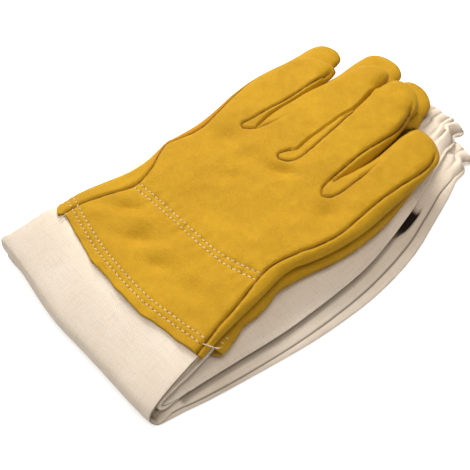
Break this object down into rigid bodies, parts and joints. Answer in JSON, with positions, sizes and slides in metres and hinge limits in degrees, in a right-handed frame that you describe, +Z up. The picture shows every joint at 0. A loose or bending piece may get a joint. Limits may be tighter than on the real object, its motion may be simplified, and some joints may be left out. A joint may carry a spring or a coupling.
{
  "type": "beekeeping gloves",
  "caption": "Pair of leather gloves with long canvas sleeves and elastic cuffs, laid palm to palm with the sleeves folded under, worn to handle bee hives.",
  "frame": {"origin": "on the floor under the middle of the right sleeve's lower run", "axes": "+Y towards the fingertips, +X towards the little fingers, +Z up"},
  "size_m": [0.1771, 0.2979, 0.0382],
  "materials": {
    "leather": "soft grain",
    "gusset_leather": "soft grain",
    "canvas": "plain weave",
    "thread": "twisted",
    "elastic": "woven tape"
  },
  "bodies": {
    "right_run": {"right_sleeve_under": "canvas", "right_sleeve_fold": "canvas", "right_cuff_casing": "canvas", "right_arm_elastic": "elastic"},
    "right_hand": {"right_back_panel": "leather", "right_palm_panel": "leather", "right_fourchette_index_middle": "gusset_leather", "right_fourchette_middle_ring": "gusset_leather", "right_fourchette_ring_little": "gusset_leather", "right_wrist_elastic": "elastic", "right_wrist_stitch_row_a": "thread", "right_wrist_stitch_row_b": "thread", "right_hem_stitch_row_a": "thread", "right_hem_stitch_row_b": "thread", "right_sleeve_upper": "canvas"},
    "right_thumb": {"right_thumb_back": "gusset_leather", "right_thumb_front": "gusset_leather"},
    "left_run": {"left_sleeve_under": "canvas", "left_sleeve_fold": "canvas", "left_cuff_casing": "canvas", "left_arm_elastic": "elastic"},
    "left_hand": {"left_back_panel": "leather", "left_palm_panel": "leather", "left_fourchette_index_middle": "gusset_leather", "left_fourchette_middle_ring": "gusset_leather", "left_fourchette_ring_little": "gusset_leather", "left_wrist_elastic": "elastic", "left_wrist_stitch_row_a": "thread", "left_wrist_stitch_row_b": "thread", "left_hem_stitch_row_a": "thread", "left_hem_stitch_row_b": "thread", "left_sleeve_upper": "canvas"},
    "left_thumb": {"left_thumb_back": "gusset_leather", "left_thumb_front": "gusset_leather"}
  },
  "joints": [
    {"name": "right_sleeve_unfold", "type": "hinge", "parent": "right_run", "child": "right_hand", "pos_m": [0, -0.131, 0.0153], "axis": [1, 0, 0], "range_deg": [0, 160], "deforming": ["right_sleeve_fold"]},
    {"name": "right_thumb_swing", "type": "hinge", "parent": "right_hand", "child": "right_thumb", "pos_m": [-0.044, -0.03, 0.02625], "axis": [0, 0, 1], "range_deg": [0, 70]},
    {"name": "left_glove_draw", "type": "slide", "parent": "right_run", "child": "left_run", "axis": [0, 1, 0], "range_m": [0, 0.3]},
    {"name": "left_sleeve_unfold", "type": "hinge", "parent": "left_run", "child": "left_hand", "pos_m": [0, -0.131, 0.0153], "axis": [1, 0, 0], "range_deg": [0, 160], "deforming": ["left_sleeve_fold"]},
    {"name": "left_thumb_swing", "type": "hinge", "parent": "left_hand", "child": "left_thumb", "pos_m": [-0.04731, -0.01575, 0.02625], "axis": [0, 0, 1], "range_deg": [0, 70]}
  ],
  "couplings": [
    {"joint": "left_sleeve_unfold", "follows": "right_sleeve_unfold", "ratio": 1}
  ]
}
